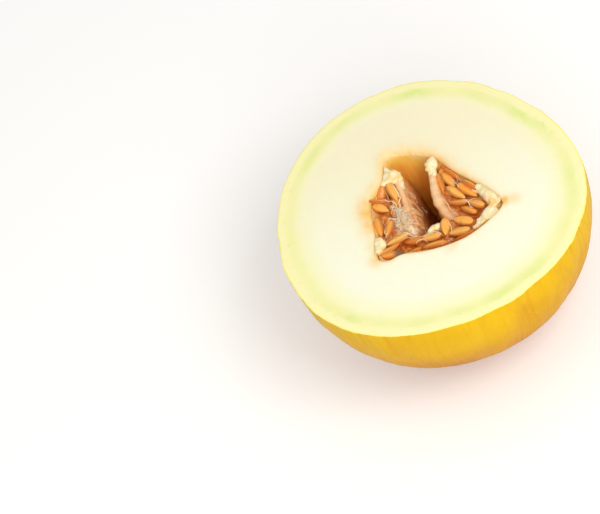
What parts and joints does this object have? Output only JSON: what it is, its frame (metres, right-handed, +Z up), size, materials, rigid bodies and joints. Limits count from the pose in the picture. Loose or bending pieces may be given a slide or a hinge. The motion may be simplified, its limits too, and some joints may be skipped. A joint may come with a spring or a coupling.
{
  "type": "halved canary melon",
  "caption": "Half of a canary melon, cut straight across, resting cut face up on a small flat spot, with its seed clusters round a narrow hollow in the open seed cavity.",
  "frame": {"origin": "the middle of the small flat spot at the blossom end, on which the half rests", "axes": "+Z up along the core of the melon, out of the cut face; +X to the right of the seed cavity as seen with its broad side in front; +Y from that broad side to the cavity's back corner"},
  "size_m": [0.1522, 0.1512, 0.085],
  "materials": {
    "melon": "waxy bright-yellow rind with fine lengthwise wrinkles, and moist ivory flesh on the cut face",
    "left_seed_cluster": "orange-tan seeds in moist cream pulp",
    "right_seed_cluster": "orange-tan seeds in moist cream pulp",
    "front_seed_cluster": "orange-tan seeds in moist cream pulp"
  },
  "bodies": {
    "root": {"melon_half": "melon", "left_seed_cluster": "left_seed_cluster", "right_seed_cluster": "right_seed_cluster", "front_seed_cluster": "front_seed_cluster"}
  },
  "joints": []
}
